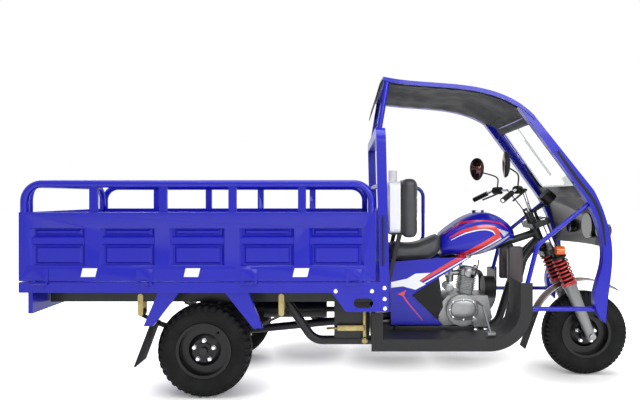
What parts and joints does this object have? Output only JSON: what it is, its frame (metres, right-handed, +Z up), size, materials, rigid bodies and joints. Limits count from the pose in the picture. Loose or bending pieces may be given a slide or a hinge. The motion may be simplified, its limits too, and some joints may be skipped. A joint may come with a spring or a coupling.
{
  "type": "cargo tricycle",
  "caption": "Three-wheeled cargo motorcycle with a drop-side load bed, headboard hoop, roofed half-cab and steered front fork",
  "frame": {"origin": "on the floor, in the middle of the overall length and width", "axes": "+X forward, +Y to the rider's left, +Z up"},
  "size_m": [3.8019, 1.25, 1.9489],
  "materials": {
    "blue_paint": "gloss paint",
    "black_paint": "satin paint",
    "black_plastic": "moulded",
    "tyre_rubber": "moulded",
    "rubber": "matt",
    "engine_alloy": "cast",
    "fork_alloy": "satin",
    "chrome": "polished",
    "zinc": "zinc plated",
    "spring_red": "gloss paint",
    "vinyl": "grained",
    "water_white": "moulded",
    "glass": "clear",
    "amber": "lens",
    "red_lens": "lens",
    "lamp_glass": "lens"
  },
  "bodies": {
    "chassis": {"chassis_frame": "black_paint", "bed_floor": "blue_paint", "headboard": "blue_paint", "bed_gussets": "blue_paint", "side_latches": "black_paint", "footboards": "black_paint", "engine_crankcase": "engine_alloy", "engine_cylinder": "engine_alloy", "cooling_fan": "black_plastic", "exhaust": "black_paint", "brake_pedal": "zinc", "seat": "vinyl", "fuel_tank": "blue_paint", "fuel_cap": "chrome", "side_panels": "blue_paint", "filter_covers": "black_plastic", "backrest": "vinyl", "water_tank": "water_white", "backrest_bracket": "black_paint", "guard_rail": "blue_paint", "roof_canopy": "blue_paint", "roof_posts": "blue_paint", "cab_pillars": "blue_paint", "windscreen": "glass", "wiper": "black_plastic", "fascia": "blue_paint", "headlamps": "lamp_glass", "cab_braces": "blue_paint", "rear_axle": "black_paint", "leaf_springs": "black_paint", "spring_shackles": "zinc", "drive_shaft": "black_paint", "fender_stays": "blue_paint", "mud_flaps": "rubber", "tail_board": "black_paint", "tail_lamps": "red_lens"},
    "steering": {"fork_yokes": "black_paint", "fork_stanchions": "chrome", "fork_legs": "fork_alloy", "fork_springs": "spring_red", "front_axle": "zinc", "front_fender": "black_paint", "front_flap": "rubber", "handlebar": "chrome", "bar_controls": "rubber", "mirrors": "black_plastic", "gauge": "black_plastic", "turn_signals": "amber"},
    "front_wheel": {"front_tyre": "tyre_rubber", "front_rim": "black_paint"},
    "rear_wheel_left": {"rear_tyre_left": "tyre_rubber", "rear_rim_left": "black_paint"},
    "rear_wheel_right": {"rear_tyre_right": "tyre_rubber", "rear_rim_right": "black_paint"},
    "left_drop_side": {"side_left": "blue_paint"},
    "right_drop_side": {"side_right": "blue_paint"},
    "rear_gate": {"tailgate": "blue_paint"}
  },
  "joints": [
    {"name": "steering_axis", "type": "hinge", "parent": "chassis", "child": "steering", "pos_m": [1.57928, 0, 0.26314], "axis": [-0.3746, 0, 0.9272], "range_deg": [-35, 35]},
    {"name": "front_wheel_spin", "type": "hinge", "parent": "steering", "child": "front_wheel", "pos_m": [1.621, 0, 0.28], "axis": [0, 1, 0], "continuous": true},
    {"name": "rear_wheel_left_spin", "type": "hinge", "parent": "chassis", "child": "rear_wheel_left", "pos_m": [-0.831, 0.46, 0.28], "axis": [0, 1, 0], "continuous": true},
    {"name": "rear_wheel_right_spin", "type": "hinge", "parent": "chassis", "child": "rear_wheel_right", "pos_m": [-0.831, -0.46, 0.28], "axis": [0, 1, 0], "continuous": true},
    {"name": "left_drop_hinge", "type": "hinge", "parent": "chassis", "child": "left_drop_side", "pos_m": [-0.84, 0.614, 0.694], "axis": [-1, 0, 0], "range_deg": [0, 170]},
    {"name": "right_drop_hinge", "type": "hinge", "parent": "chassis", "child": "right_drop_side", "pos_m": [-0.84, -0.614, 0.694], "axis": [1, 0, 0], "range_deg": [0, 170]},
    {"name": "rear_gate_hinge", "type": "hinge", "parent": "chassis", "child": "rear_gate", "pos_m": [-1.883, 0, 0.694], "axis": [0, -1, 0], "range_deg": [0, 170]}
  ]
}
